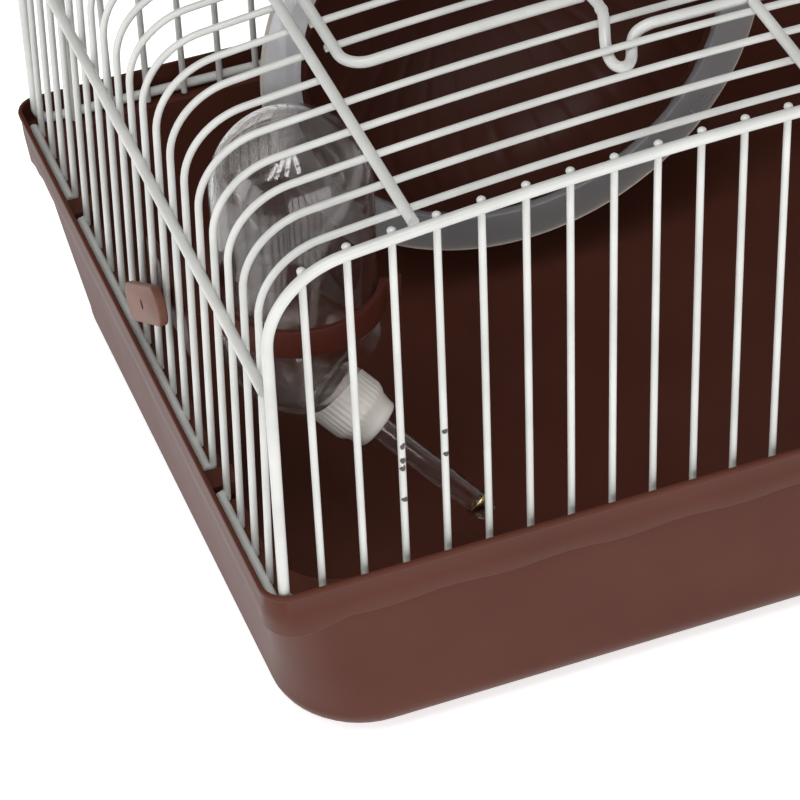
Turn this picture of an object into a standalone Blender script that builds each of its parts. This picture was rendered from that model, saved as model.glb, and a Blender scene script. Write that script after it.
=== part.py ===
"""Small hamster cage: plastic tub, lift-off wire top with a roof door, wheel, and bottle on a clip.

Every helper takes millimetres in the wire frame: x to the right, y to the back, z up from the
centreline of the bottom wires, with x = 0 and y = 0 near the front left corner of the wires.
place() turns them into metres with the origin under the middle of the tub.
"""
import math

import bmesh
import bpy
from mathutils import Matrix, Vector

MM = 0.001
CENTRE_X = 130.0
CENTRE_Y = 97.0
FLOOR_TO_WIRES = 59.0

CLEAR = 0.3
THIN = 0.85
THICK = 1.3
WELD = 0.45
STACK = THIN + THICK - WELD
THIN_SIDES = 5
THICK_SIDES = 6

WIDTH = 260.0
FRONT_Y = -0.85
BACK_Y = 192.9
BAR_PITCH = 10.0
BAR_COUNT = 25
BAR_TIP = 1.3
BORDER_X = 0.45
BORDER_LEAN = 0.006
BORDER_BEND = 20.0
BORDER_LIFT = 1.9
BORDER_FOOT_BEND = 4.0

ROOF_Z = 89.4
ROOF_CROWN = 8.7
HOOP_X = 0.25
HOOP_LEAN = 0.028
HOOP_BEND = 17.0
HOOP_Y = 8.7
HOOP_PITCH = 9.97
HOOP_COUNT = 19
HOOP_TIP = -1.7
WALL_TOP = 72.0
SHOULDER_Z = 60.5
CROSS_X = 35.3
CROSS_OVERHANG = 1.6
FRONT_HOOPS = range(0, 4)
DOOR_EDGE_HOOP = 4
BACK_HOOPS = range(16, 19)
WIRE_Y = (2.0, 190.0)
TAB_Y = (44.0, 153.6)
TAB_LENGTH = 6.2
SLOT_LENGTH = 2.2

DOOR_X = 41.0
DOOR_FRONT = 57.3
DOOR_BACK = 160.4
DOOR_BEND = 6.0
DOOR_WIRES = 9
DOOR_WIRE_Y = 68.5
DOOR_RING_X = 60.0
HOOK_X = 98.3
PULL_Y = 41.4

WHEEL = (116.0, 145.5, 26.5)
WHEEL_FLANGE = 68.5
WHEEL_WALL = 59.5
BOTTLE = (30.5, 71.0)
BOTTLE_R = 19.0
BOTTLE_LOW = 12.5
BOTTLE_HIGH = 56.5
BOTTLE_WALL = 1.2
NECK = Vector((35.4, 67.2, -2.9))
NECK_DIR = Vector((0.619, -0.480, -0.622)).normalized()
RING_Z = 26.5
RING_HEIGHT = 7.8
KNOB = (-2.9, 83.5, 23.3)
KNOB_TILT = math.radians(35.0)

WHITE = (0.74, 0.74, 0.71)
BROWN = (0.125, 0.048, 0.035)
SMOKE = (0.30, 0.32, 0.38)
CLEAR_PLASTIC = (0.85, 0.87, 0.88)
MILKY = (0.72, 0.70, 0.66)
STEEL = (0.60, 0.60, 0.61)
BRASS = (0.62, 0.45, 0.20)
SEAL = (0.55, 0.53, 0.50)


def place(point):
    """A point of the wire frame in millimetres, as metres in the object's own frame."""
    x, y, z = point
    return Vector(((x - CENTRE_X) * MM, (y - CENTRE_Y) * MM, (z + FLOOR_TO_WIRES) * MM))


def clear_scene():
    for old in list(bpy.data.objects):
        bpy.data.objects.remove(old)


def collection(name):
    made = bpy.data.collections.new(name)
    bpy.context.scene.collection.children.link(made)
    return made


def material(name, colour, roughness, metallic=0.0, alpha=1.0):
    made = bpy.data.materials.new(name)
    made.use_nodes = True
    shader = made.node_tree.nodes["Principled BSDF"]
    shader.inputs["Base Color"].default_value = (*colour, 1.0)
    shader.inputs["Roughness"].default_value = roughness
    shader.inputs["Metallic"].default_value = metallic
    shader.inputs["Alpha"].default_value = alpha
    return made


def finish(name, bm, target, look=None, origin=None):
    """Turns a bmesh in the object's frame into an object whose origin is at a wire-frame point."""
    start = place(origin) if origin else Vector((0.0, 0.0, 0.0))
    bmesh.ops.translate(bm, verts=bm.verts, vec=-start)
    bmesh.ops.recalc_face_normals(bm, faces=bm.faces)
    mesh = bpy.data.meshes.new(name)
    bm.to_mesh(mesh)
    bm.free()
    made = bpy.data.objects.new(name, mesh)
    made.location = start
    if look:
        mesh.materials.append(look)
    else:
        made.hide_render = True
        made.display_type = "WIRE"
    target.objects.link(made)
    return made


def boolean(target, other, operation):
    modifier = target.modifiers.new(operation.lower() + "_" + other.name, "BOOLEAN")
    modifier.operation = operation
    modifier.solver = "EXACT"
    modifier.object = other
    return target


def skin(bm, rings, closed):
    """Joins rings of equal length into a surface, capped at both ends unless it closes on itself."""
    loops = [[bm.verts.new(place(p)) for p in ring] for ring in rings]
    count = len(loops[0])
    last = len(loops) if closed else len(loops) - 1
    for i in range(last):
        here = loops[i]
        there = loops[(i + 1) % len(loops)]
        for j in range(count):
            k = (j + 1) % count
            bm.faces.new((here[j], here[k], there[k], there[j]))
    if not closed:
        bm.faces.new(loops[0])
        bm.faces.new(loops[-1])


def tube(bm, path, radius, sides, closed=False):
    """A round wire along a path of points."""
    points = [Vector(p) for p in path]
    count = len(points)
    tangents = []
    for i, point in enumerate(points):
        before = points[(i - 1) % count] if closed or i else point
        after = points[(i + 1) % count] if closed or i < count - 1 else point
        tangents.append((after - before).normalized())
    across = tangents[0].orthogonal().normalized()
    rings = []
    for i, (point, tangent) in enumerate(zip(points, tangents)):
        across = (across - tangent * across.dot(tangent)).normalized()
        other = tangent.cross(across)
        bend = 1.0
        if closed or 0 < i < count - 1:
            leg = (points[(i + 1) % count] - point).normalized()
            bend = 1.0 / max(0.5, leg.dot(tangent))
        ring = []
        for s in range(sides):
            turn = 2.0 * math.pi * s / sides
            ring.append(point + radius * bend ** 0.5 * (math.cos(turn) * across + math.sin(turn) * other))
        rings.append(ring)
    skin(bm, rings, closed)


def turned(bm, profile, centre, axis, steps):
    """Revolves a closed profile of (radius, distance along the axis) points about an axis."""
    direction = Vector(axis).normalized()
    across = direction.orthogonal().normalized()
    other = direction.cross(across)
    base = Vector(centre)
    rings = []
    for s in range(steps):
        turn = 2.0 * math.pi * s / steps
        radial = math.cos(turn) * across + math.sin(turn) * other
        rings.append([base + radial * r + direction * h for r, h in profile])
    skin(bm, rings, True)


def lathe(bm, profile, centre, axis, steps):
    """Revolves an open profile whose ends are on the axis, so that the ends close as points."""
    direction = Vector(axis).normalized()
    across = direction.orthogonal().normalized()
    other = direction.cross(across)
    base = Vector(centre)
    tips = [bm.verts.new(place(base + direction * profile[i][1])) for i in (0, -1)]
    loops = []
    for r, h in profile[1:-1]:
        loop = []
        for s in range(steps):
            turn = 2.0 * math.pi * s / steps
            radial = math.cos(turn) * across + math.sin(turn) * other
            loop.append(bm.verts.new(place(base + radial * r + direction * h)))
        loops.append(loop)
    for s in range(steps):
        t = (s + 1) % steps
        bm.faces.new((tips[0], loops[0][s], loops[0][t]))
        bm.faces.new((tips[1], loops[-1][t], loops[-1][s]))
        for here, there in zip(loops, loops[1:]):
            bm.faces.new((here[s], there[s], there[t], here[t]))


def box(bm, low, high):
    x0, y0, z0 = low
    x1, y1, z1 = high
    lower = [(x0, y0, z0), (x1, y0, z0), (x1, y1, z0), (x0, y1, z0)]
    skin(bm, [lower, [(x, y, z1) for x, y, _ in lower]], False)


def arc_points(centre, radius, start, end, count):
    """Points on an arc in a plane, with angles in degrees."""
    made = []
    for i in range(count + 1):
        turn = math.radians(start + (end - start) * i / count)
        made.append((centre[0] + radius * math.cos(turn), centre[1] + radius * math.sin(turn)))
    return made


def roof_z(x):
    """Height of the crowned roof wires at x."""
    t = (x - WIDTH / 2) / (WIDTH / 2)
    return ROOF_Z + ROOF_CROWN * (1.0 - t * t)


def roof_slope(x):
    half = WIDTH / 2
    return -2.0 * ROOF_CROWN * (x - half) / half ** 2


def shoulder_arc(foot_x, lean, radius, lift):
    """Centre, first and last angle of the arc that joins a leaning side to the crowned roof."""
    length = math.hypot(1.0, lean)
    low = foot_x
    high = foot_x + 4.0 * radius
    for _ in range(40):
        x = (low + high) / 2
        slope = roof_slope(x)
        norm = math.hypot(1.0, slope)
        cx = x + radius * slope / norm
        cz = roof_z(x) + lift - radius / norm
        if (cx - (foot_x + lean * cz)) / length < radius:
            low = x
        else:
            high = x
    first = 180.0 - math.degrees(math.atan(lean))
    last = 90.0 + math.degrees(math.atan(roof_slope(x)))
    return (cx, cz), first, last


def mirror(points):
    """The same points on the other side of the middle plane, in reverse order."""
    return [(WIDTH - p[0],) + tuple(p[1:]) for p in reversed(points)]


HOOP_CENTRE, HOOP_FIRST, HOOP_LAST = shoulder_arc(HOOP_X, HOOP_LEAN, HOOP_BEND, 0.0)


def hoop_side_x(z):
    return HOOP_X + HOOP_LEAN * z


def hoop_y(index):
    return HOOP_Y + HOOP_PITCH * index


def flip(points, right):
    return [(WIDTH - x, y, z) for x, y, z in points] if right else points


def border_path(y):
    """Closed path of a panel's thick border wire, flat at the foot and crowned at the top."""
    centre, first, last = shoulder_arc(BORDER_X, BORDER_LEAN, BORDER_BEND, BORDER_LIFT)
    foot = arc_points((BORDER_X + BORDER_FOOT_BEND, BORDER_FOOT_BEND), BORDER_FOOT_BEND, 270, 180, 3)
    side = foot + arc_points(centre, BORDER_BEND, first, last, 5)
    crown_x = [side[-1][0] + (WIDTH / 2 - side[-1][0]) * i / 5 for i in range(1, 5)]
    left = side + [(x, roof_z(x) + BORDER_LIFT) for x in crown_x]
    whole = left + [(WIDTH / 2, roof_z(WIDTH / 2) + BORDER_LIFT)] + mirror(left)
    return [(x, y, z) for x, z in whole]


def border_top(x):
    """Height of the border wire above the foot at x."""
    centre, _, last = shoulder_arc(BORDER_X, BORDER_LEAN, BORDER_BEND, BORDER_LIFT)
    near = min(x, WIDTH - x)
    if near < centre[0] + BORDER_BEND * math.cos(math.radians(last)):
        return centre[1] + math.sqrt(BORDER_BEND ** 2 - (centre[0] - near) ** 2)
    return roof_z(near) + BORDER_LIFT


def panel(name, border_y, inward, parts, cutters, look):
    """A flat end panel: a border wire with upright bars welded on its inner side."""
    bm = bmesh.new()
    tube(bm, border_path(border_y), THICK, THICK_SIDES, True)
    made = finish(name, bm, parts, look)
    bm = bmesh.new()
    bar_y = border_y + inward * STACK
    for i in range(1, BAR_COUNT + 1):
        x = BAR_PITCH * i
        tube(bm, [(x, bar_y, -BAR_TIP), (x, bar_y, border_top(x) + BAR_TIP)], THIN, THIN_SIDES)
    return boolean(made, finish(name + "_bars", bm, cutters), "UNION")


def side_spans():
    """The stretches of bottom wire between the tub's tabs."""
    half = TAB_LENGTH / 2 + CLEAR
    first = TAB_Y[0] - half
    second = TAB_Y[1] - half
    return [
        (WIRE_Y[0], first - SLOT_LENGTH),
        (TAB_Y[0] + half, second - SLOT_LENGTH),
        (TAB_Y[1] + half, WIRE_Y[1]),
    ]


def wall(name, right, parts, cutters, look):
    """A side wall: upright ends of the hoops with a bottom wire and a shoulder wire outside them."""
    bm = bmesh.new()
    foot_x = hoop_side_x(0.0) - STACK
    for start, end in side_spans():
        tube(bm, flip([(foot_x, start, 0.0), (foot_x, end, 0.0)], right), THICK, THICK_SIDES)
    high_x = hoop_side_x(SHOULDER_Z) - STACK
    ends = [(high_x, WIRE_Y[0], SHOULDER_Z), (high_x, WIRE_Y[1], SHOULDER_Z)]
    tube(bm, flip(ends, right), THICK, THICK_SIDES)
    lengthwise = finish(name + "_wires", bm, cutters)
    bm = bmesh.new()
    for i in range(HOOP_COUNT):
        y = hoop_y(i)
        ends = [(hoop_side_x(HOOP_TIP), y, HOOP_TIP), (hoop_side_x(WALL_TOP), y, WALL_TOP)]
        tube(bm, flip(ends, right), THIN, THIN_SIDES)
    return boolean(finish(name, bm, parts, look), lengthwise, "UNION")


def shoulder(name, right, parts, cutters, look):
    """The bent stretch of every hoop, from the side wall to the roof's lengthwise wire."""
    bend = arc_points(HOOP_CENTRE, HOOP_BEND, HOOP_FIRST, HOOP_LAST, 4)
    start = WALL_TOP + CLEAR
    end = CROSS_X + CROSS_OVERHANG
    path = [(hoop_side_x(start), start)] + bend + [(end, roof_z(end))]
    bm = bmesh.new()
    for i in range(HOOP_COUNT):
        y = hoop_y(i)
        tube(bm, flip([(x, y, z) for x, z in path], right), THIN, THIN_SIDES)
    made = finish(name, bm, parts, look)
    bm = bmesh.new()
    z = roof_z(CROSS_X) + STACK
    tube(bm, flip([(CROSS_X, WIRE_Y[0], z), (CROSS_X, WIRE_Y[1], z)], right), THICK, THICK_SIDES)
    return boolean(made, finish(name + "_wire", bm, cutters), "UNION")


def crown_path(start, end, y, count, lift=0.0):
    """Points along the crowned roof from one x to another."""
    made = []
    for i in range(count + 1):
        x = start + (end - start) * i / count
        made.append((x, y, roof_z(x) + lift))
    return made


def roof_strip(name, hoops, span, parts, cutters, look):
    """Roof hoops between the two lengthwise wires, joined by the middle stiffener."""
    start = CROSS_X + CROSS_OVERHANG + CLEAR
    bm = bmesh.new()
    for i in hoops:
        tube(bm, crown_path(start, WIDTH - start, hoop_y(i), 8), THIN, THIN_SIDES)
    made = finish(name, bm, parts, look)
    bm = bmesh.new()
    z = roof_z(WIDTH / 2) + STACK
    tube(bm, [(WIDTH / 2, span[0], z), (WIDTH / 2, span[1], z)], THICK, THICK_SIDES)
    return boolean(made, finish(name + "_wire", bm, cutters), "UNION")


def edge_hoop(parts, look):
    """The single hoop that runs across the roof just in front of the door."""
    start = CROSS_X + CROSS_OVERHANG + CLEAR
    bm = bmesh.new()
    tube(bm, crown_path(start, WIDTH - start, hoop_y(DOOR_EDGE_HOOP), 8), THIN, THIN_SIDES)
    return finish("roof_edge_hoop", bm, parts, look)


def lifted(points, lift):
    """Puts plan points on the crowned roof, raised by lift."""
    return [(x, y, roof_z(x) + lift) for x, y in points]


def door(parts, cutters, look):
    """The roof door: an open frame wire with crosswise wires welded under it."""
    corner = (DOOR_X + DOOR_BEND, DOOR_FRONT + DOOR_BEND)
    front = arc_points(corner, DOOR_BEND, 270, 180, 4)
    rear = arc_points((DOOR_X + DOOR_BEND, DOOR_BACK - DOOR_BEND), DOOR_BEND, 180, 90, 4)
    back = [(DOOR_X + DOOR_BEND + 20.5 * i, DOOR_BACK) for i in range(1, 4)]
    left = [(HOOK_X - THICK - CLEAR, DOOR_FRONT), (72.0, DOOR_FRONT)] + front + rear + back
    whole = left + [(WIDTH / 2, DOOR_BACK)] + mirror(left)
    bm = bmesh.new()
    tube(bm, lifted(whole, STACK), THICK, THICK_SIDES)
    made = finish("roof_door", bm, parts, look, hinge_point())
    bm = bmesh.new()
    for i in range(DOOR_WIRES):
        y = DOOR_WIRE_Y + HOOP_PITCH * i
        tube(bm, crown_path(DOOR_X - 1.2, WIDTH - DOOR_X + 1.2, y, 8), THIN, THIN_SIDES)
    return boolean(made, finish("roof_door_wires", bm, cutters), "UNION")


def hinge_point():
    x = WIDTH / 2 - DOOR_RING_X
    return (WIDTH / 2, DOOR_BACK, roof_z(x) + STACK)


def latch(parts, look):
    """The sprung front of the door: a hook at each end that grips under a hoop, and a pull bar."""
    hoop = hoop_y(3)
    plan = [
        (HOOK_X, DOOR_FRONT + 0.4, 1.70),
        (HOOK_X + 0.2, 52.5, 2.10),
        (HOOK_X - 0.4, 48.6, 2.70),
        (HOOK_X - 1.6, 45.0, 1.90),
        (HOOK_X - 2.8, 41.8, -0.60),
        (HOOK_X - 3.2, hoop, -2.75),
        (HOOK_X - 2.4, hoop - 2.9, -3.10),
        (HOOK_X - 0.2, hoop - 3.4, -3.10),
        (HOOK_X + 1.6, hoop - 1.4, -2.95),
        (HOOK_X + 2.8, hoop + 1.8, -1.60),
        (HOOK_X + 4.2, hoop + 3.1, 0.40),
        (HOOK_X + 7.4, PULL_Y + 0.2, 1.70),
        (HOOK_X + 18.0, PULL_Y, 1.70),
    ]
    left = [(x, y, roof_z(x) + rise) for x, y, rise in plan]
    middle = (WIDTH / 2, PULL_Y, roof_z(WIDTH / 2) + STACK)
    bm = bmesh.new()
    tube(bm, left + [middle] + mirror(left), THICK, THICK_SIDES)
    return finish("door_latch_bow", bm, parts, look, (WIDTH / 2, DOOR_FRONT, roof_z(HOOK_X) + STACK))


def door_ring(name, x, parts, look):
    """A closed wire ring round the door's back wire and the roof hoop behind it."""
    hoop = hoop_y(16)
    reach = THICK + CLEAR + 0.6
    low = roof_z(x)
    high = low + STACK
    path = [
        (x, DOOR_BACK - reach, high),
        (x, DOOR_BACK - reach * 0.7, high + reach * 0.7),
        (x, DOOR_BACK, high + reach),
        (x, hoop, high + reach),
        (x, hoop + 1.8, high + 0.4),
        (x, hoop + 1.8, low - 0.6),
        (x, hoop, low - reach),
        (x, DOOR_BACK, high - reach - 0.6),
        (x, DOOR_BACK - reach * 0.8, high - reach * 0.7),
    ]
    bm = bmesh.new()
    tube(bm, path, 0.5, THIN_SIDES, True)
    return finish(name, bm, parts, look)


def plan_ring(inset, z, corner):
    """A rounded rectangle at height z, inset from the tub's rim rectangle."""
    low_x = -4.6 + inset
    high_x = WIDTH + 4.6 - inset
    low_y = -3.9 + inset
    high_y = 197.9 - inset
    corners = [
        ((high_x - corner, low_y + corner), 270),
        ((high_x - corner, high_y - corner), 0),
        ((low_x + corner, high_y - corner), 90),
        ((low_x + corner, low_y + corner), 180),
    ]
    points = []
    for centre, start in corners:
        points += arc_points(centre, corner, start, start + 90, 5)
    return [(x, y, z) for x, y in points]


def tub(parts, cutters, look):
    """The deep tray: drafted walls, rounded foot, outward band, thin lip and an inner ledge."""
    floor = -FLOOR_TO_WIRES
    rings = []
    for i in range(4):
        turn = math.radians(30.0 * i)
        inset = 8.0 + 12.0 * (1.0 - math.sin(turn))
        rings.append(plan_ring(inset, floor + 12.0 * (1.0 - math.cos(turn)), 26.0 - 0.5 * inset))
    rings += [
        plan_ring(2.9, -7.4, 10.0),
        plan_ring(1.2, -6.6, 8.0),
        plan_ring(0.5, 2.8, 6.3),
        plan_ring(0.0, 3.7, 6.5),
        plan_ring(0.4, 4.5, 6.2),
        plan_ring(1.1, 4.5, 5.4),
        plan_ring(1.3, -2.4, 5.2),
        plan_ring(7.8, -2.4, 17.0),
        plan_ring(8.2, -5.0, 17.0),
    ]
    for i in range(4):
        turn = math.radians(90.0 - 30.0 * i)
        inset = 10.2 + 9.8 * (1.0 - math.sin(turn))
        rings.append(plan_ring(inset, floor + 2.4 + 9.8 * (1.0 - math.cos(turn)), 24.0 - 0.5 * inset))
    bm = bmesh.new()
    skin(bm, rings, False)
    made = finish("base_tub", bm, parts, look)
    bm = bmesh.new()
    half = TAB_LENGTH / 2
    for y in TAB_Y:
        box(bm, (-3.6, y - half, -3.4), (4.2, y + half, 0.9))
        box(bm, (WIDTH - 4.2, y - half, -3.4), (WIDTH + 3.6, y + half, 0.9))
    boolean(made, finish("tub_tabs", bm, cutters), "UNION")
    bm = bmesh.new()
    for y in TAB_Y:
        start = y - half - SLOT_LENGTH
        box(bm, (-2.6, start, -5.4), (2.4, y - half - 0.2, -1.0))
        box(bm, (WIDTH - 2.4, start, -5.4), (WIDTH + 2.6, y - half - 0.2, -1.0))
    box(bm, (122.0, -2.0, -5.4), (138.0, 1.4, -1.0))
    box(bm, (122.0, 191.6, -5.4), (138.0, 194.8, -1.0))
    return boolean(made, finish("tub_slots", bm, cutters), "DIFFERENCE")


def wheel(parts, look, clear_look, metal, bracket_look):
    """The exercise wheel: bowl and clear rim on a fixed bolt between a bracket and a back nut."""
    x, y, z = WHEEL
    axis = (0.0, 1.0, 0.0)
    outer = [(57.7 * math.cos(t), 7.0 + 34.5 * math.sin(t)) for t in quarter(6)]
    inner = [(56.1 * math.cos(t), 7.0 + 32.9 * math.sin(t)) for t in quarter(6)]
    hole = 3.1
    profile = [(57.7, 2.0)] + outer[:-1] + [(hole, 41.5), (hole, 39.9)]
    profile += list(reversed(inner[:-1])) + [(56.1, 2.0)]
    bm = bmesh.new()
    turned(bm, profile, (x, y, z), axis, 30)
    finish("wheel_bowl", bm, parts, look, (x, y + 41.0, z))
    wall_in = 58.0
    rim = [(wall_in, 0.0), (WHEEL_FLANGE, 0.0), (WHEEL_FLANGE, 1.5)]
    rim += [(WHEEL_WALL, 1.5), (WHEEL_WALL, 11.5), (wall_in, 11.5)]
    bm = bmesh.new()
    turned(bm, rim, (x, y, z), axis, 36)
    finish("wheel_rim", bm, parts, clear_look, (x, y, z))
    bm = bmesh.new()
    bolt = [(0.0, 36.6), (5.2, 36.6), (6.4, 37.6), (6.4, 39.5), (2.4, 39.5), (2.4, 50.2), (0.0, 50.2)]
    lathe(bm, bolt, (x, y, z), axis, 12)
    finish("wheel_bolt", bm, parts, metal, (x, y, z))
    bm = bmesh.new()
    turned(bm, [(2.75, 41.85), (14.0, 41.85), (15.0, 42.6), (15.0, 44.5), (2.75, 44.5)], (x, y, z), axis, 24)
    finish("wheel_bracket", bm, parts, bracket_look, (x, y, z))
    bm = bmesh.new()
    turned(bm, [(2.75, 46.9), (10.0, 46.9), (10.0, 48.6), (8.8, 49.4), (2.75, 49.4)], (x, y, z), axis, 18)
    finish("wheel_back_nut", bm, parts, bracket_look, (x, y, z))


def quarter(count):
    return [math.pi / 2 * i / count for i in range(count + 1)]


def capsule(bm, radius, steps):
    """The bottle's body shape about its upright axis, as one closed lathe."""
    rows = 5
    low = [(radius * math.sin(t), BOTTLE_LOW - radius * math.cos(t)) for t in quarter(rows)]
    high = [(radius * math.cos(t), BOTTLE_HIGH + radius * math.sin(t)) for t in quarter(rows)]
    low[0] = (0.0, low[0][1])
    high[-1] = (0.0, high[-1][1])
    lathe(bm, low + high, (*BOTTLE, 0.0), (0.0, 0.0, 1.0), steps)


def neck_point(along):
    return NECK + NECK_DIR * along


def beyond_neck(name, along, cutters):
    """A block that covers everything past a plane across the neck."""
    bm = bmesh.new()
    lathe(bm, [(0.0, along), (30.0, along), (30.0, along + 30.0), (0.0, along + 30.0)], NECK, NECK_DIR, 8)
    return finish(name, bm, cutters)


def rod(name, radius, start, end, cutters, steps=16):
    bm = bmesh.new()
    lathe(bm, [(0.0, start), (radius, start), (radius, end), (0.0, end)], NECK, NECK_DIR, steps)
    return finish(name, bm, cutters)


def bottle(parts, cutters, glass, milky, seal, metal, brass):
    """The drinking bottle, its cap with gasket, and the spout tube with a ball in the end."""
    bm = bmesh.new()
    capsule(bm, BOTTLE_R, 24)
    body = finish("bottle_body", bm, parts, glass, (*BOTTLE, RING_Z))
    boolean(body, beyond_neck("bottle_seat_cut", -0.4, cutters), "DIFFERENCE")
    boolean(body, rod("bottle_neck", 6.6, -6.0, 7.4, cutters), "UNION")
    bm = bmesh.new()
    capsule(bm, BOTTLE_R - BOTTLE_WALL, 24)
    hollow = finish("bottle_hollow", bm, cutters)
    boolean(hollow, beyond_neck("bottle_seat_wall", -1.8, cutters), "DIFFERENCE")
    boolean(body, hollow, "DIFFERENCE")
    boolean(body, rod("bottle_bore", 5.4, -7.0, 8.4, cutters), "DIFFERENCE")
    bm = bmesh.new()
    cup = [(6.95, 0.0), (8.25, 0.0), (8.25, 9.2), (7.4, 10.8), (6.4, 15.0), (3.2, 15.0), (3.2, 9.4), (6.95, 9.4)]
    turned(bm, cup, NECK, NECK_DIR, 24)
    finish("bottle_cap", bm, parts, milky, tuple(neck_point(7.0)))
    bm = bmesh.new()
    turned(bm, [(3.3, 7.7), (6.5, 7.7), (6.5, 9.1), (3.3, 9.1)], NECK, NECK_DIR, 16)
    finish("cap_gasket", bm, parts, seal, tuple(neck_point(8.4)))
    bm = bmesh.new()
    pipe = [(2.1, 7.7), (2.9, 7.7), (2.9, 49.2), (2.2, 50.2), (1.2, 50.2), (1.2, 49.6), (2.1, 48.4)]
    turned(bm, pipe, NECK, NECK_DIR, 16)
    finish("spout_tube", bm, parts, glass, tuple(neck_point(30.0)))
    bm = bmesh.new()
    ball = [(1.75 * math.sin(math.pi * i / 6), 47.3 - 1.75 * math.cos(math.pi * i / 6)) for i in range(7)]
    ball[0] = (0.0, ball[0][1])
    ball[-1] = (0.0, ball[-1][1])
    lathe(bm, ball, NECK, NECK_DIR, 10)
    finish("spout_ball", bm, parts, metal, tuple(neck_point(47.3)))
    bm = bmesh.new()
    turned(bm, [(3.2, 45.6), (3.5, 45.6), (3.5, 47.0), (3.2, 47.0)], NECK, NECK_DIR, 16)
    finish("spout_ring", bm, parts, brass, tuple(neck_point(46.3)))


def ring_sector(bm, inner, outer, start, end, count):
    """A curved band about the bottle's axis, between two angles in degrees."""
    low = RING_Z - RING_HEIGHT / 2
    high = RING_Z + RING_HEIGHT / 2
    rings = []
    for i in range(count + 1):
        turn = math.radians(start + (end - start) * i / count)
        c = math.cos(turn)
        s = math.sin(turn)
        section = [(inner, low), (outer, low), (outer, high), (inner, high)]
        rings.append([(BOTTLE[0] + r * c, BOTTLE[1] + r * s, z) for r, z in section])
    skin(bm, rings, False)


def holder(parts, cutters, look, pin_look):
    """The bottle clip: an open band on a back plate, and the turn knob that locks it outside."""
    bm = bmesh.new()
    ring_sector(bm, BOTTLE_R + CLEAR, BOTTLE_R + 1.8, 60, 335, 22)
    made = finish("bottle_clip", bm, parts, look, (*BOTTLE, RING_Z))
    bm = bmesh.new()
    box(bm, (2.3, 66.0, 17.0), (4.3, 98.0, 31.0))
    boolean(made, finish("clip_plate", bm, cutters), "UNION")
    bm = bmesh.new()
    box(bm, (4.0, 67.5, 23.4), (10.9, 74.5, 29.6))
    boolean(made, finish("clip_arm", bm, cutters), "UNION")
    bm = bmesh.new()
    for turn, way in ((335.0, 1.0), (60.0, -1.0)):
        a = math.radians(turn)
        out = Vector((math.cos(a), math.sin(a), 0.0))
        side = Vector((-math.sin(a), math.cos(a), 0.0)) * way
        start = Vector((*BOTTLE, 0.0)) + out * (BOTTLE_R + 0.7) - side * 0.6
        corners = [start, start + out * 1.1, start + out * 4.6 + side * 2.4, start + out * 3.6 + side * 3.2]
        low = [(p.x, p.y, RING_Z - 3.5) for p in corners]
        high = [(p.x, p.y, RING_Z + 3.5) for p in corners]
        skin(bm, [low, high], False)
    boolean(made, finish("clip_tabs", bm, cutters), "UNION")
    bm = bmesh.new()
    axis = (1.0, 0.0, 0.0)
    lathe(bm, [(0.0, 1.4), (2.4, 1.4), (2.4, 6.2), (0.0, 6.2)], KNOB, axis, 12)
    boolean(made, finish("clip_stem", bm, cutters), "UNION")
    bm = bmesh.new()
    lathe(bm, [(0.0, -3.0), (1.3, -3.0), (1.3, 3.3), (0.0, 3.3)], KNOB, axis, 10)
    bore = finish("knob_bore", bm, cutters)
    boolean(made, bore, "DIFFERENCE")
    boolean(turn_knob(parts, look), bore, "DIFFERENCE")
    bm = bmesh.new()
    lathe(bm, [(0.0, -0.6), (1.0, -0.6), (1.0, 3.0), (0.0, 3.0)], KNOB, axis, 10)
    finish("knob_pin", bm, parts, pin_look, KNOB)


def turn_knob(parts, look):
    """An oblong plate outside the bars, tilted."""
    x, y, z = KNOB
    long_half = 13.2
    wide = 4.8
    outline = arc_points((long_half, 0.0), wide, -90, 90, 6) + arc_points((-long_half, 0.0), wide, 90, 270, 6)
    c = math.cos(KNOB_TILT)
    s = math.sin(KNOB_TILT)
    face = [(y - a * c - b * s, z + a * s - b * c) for a, b in outline]
    bm = bmesh.new()
    skin(bm, [[(x - 1.1, p, q) for p, q in face], [(x + 1.1, p, q) for p, q in face]], False)
    return finish("turn_knob", bm, parts, look, KNOB)


def build():
    clear_scene()
    parts = collection("hamster_cage")
    cutters = collection("cutters")
    wire = material("wire_white", WHITE, 0.38)
    brown = material("tub_brown", BROWN, 0.36)
    clip_brown = material("clip_brown", BROWN, 0.32)
    smoke = material("wheel_clear", SMOKE, 0.2, 0.0, 0.5)
    glass = material("bottle_clear", CLEAR_PLASTIC, 0.06, 0.0, 0.25)
    milky = material("cap_milky", MILKY, 0.35)
    seal = material("gasket", SEAL, 0.6)
    steel = material("steel", STEEL, 0.25, 1.0)
    brass = material("brass", BRASS, 0.3, 1.0)
    tub(parts, cutters, brown)
    panel("front_grid", FRONT_Y, 1.0, parts, cutters, wire)
    panel("back_grid", BACK_Y, -1.0, parts, cutters, wire)
    for side, right in (("left", False), ("right", True)):
        wall(side + "_wall_grid", right, parts, cutters, wire)
        shoulder(side + "_shoulder_grid", right, parts, cutters, wire)
    roof_strip("roof_front_grid", FRONT_HOOPS, (WIRE_Y[0], 39.6), parts, cutters, wire)
    roof_strip("roof_back_grid", BACK_HOOPS, (hoop_y(16) - 1.4, WIRE_Y[1]), parts, cutters, wire)
    edge_hoop(parts, wire)
    door(parts, cutters, wire)
    latch(parts, wire)
    door_ring("door_ring_left", WIDTH / 2 - DOOR_RING_X, parts, steel)
    door_ring("door_ring_right", WIDTH / 2 + DOOR_RING_X, parts, steel)
    wheel(parts, clip_brown, smoke, steel, clip_brown)
    bottle(parts, cutters, glass, milky, seal, steel, brass)
    holder(parts, cutters, clip_brown, steel)


build()
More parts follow.
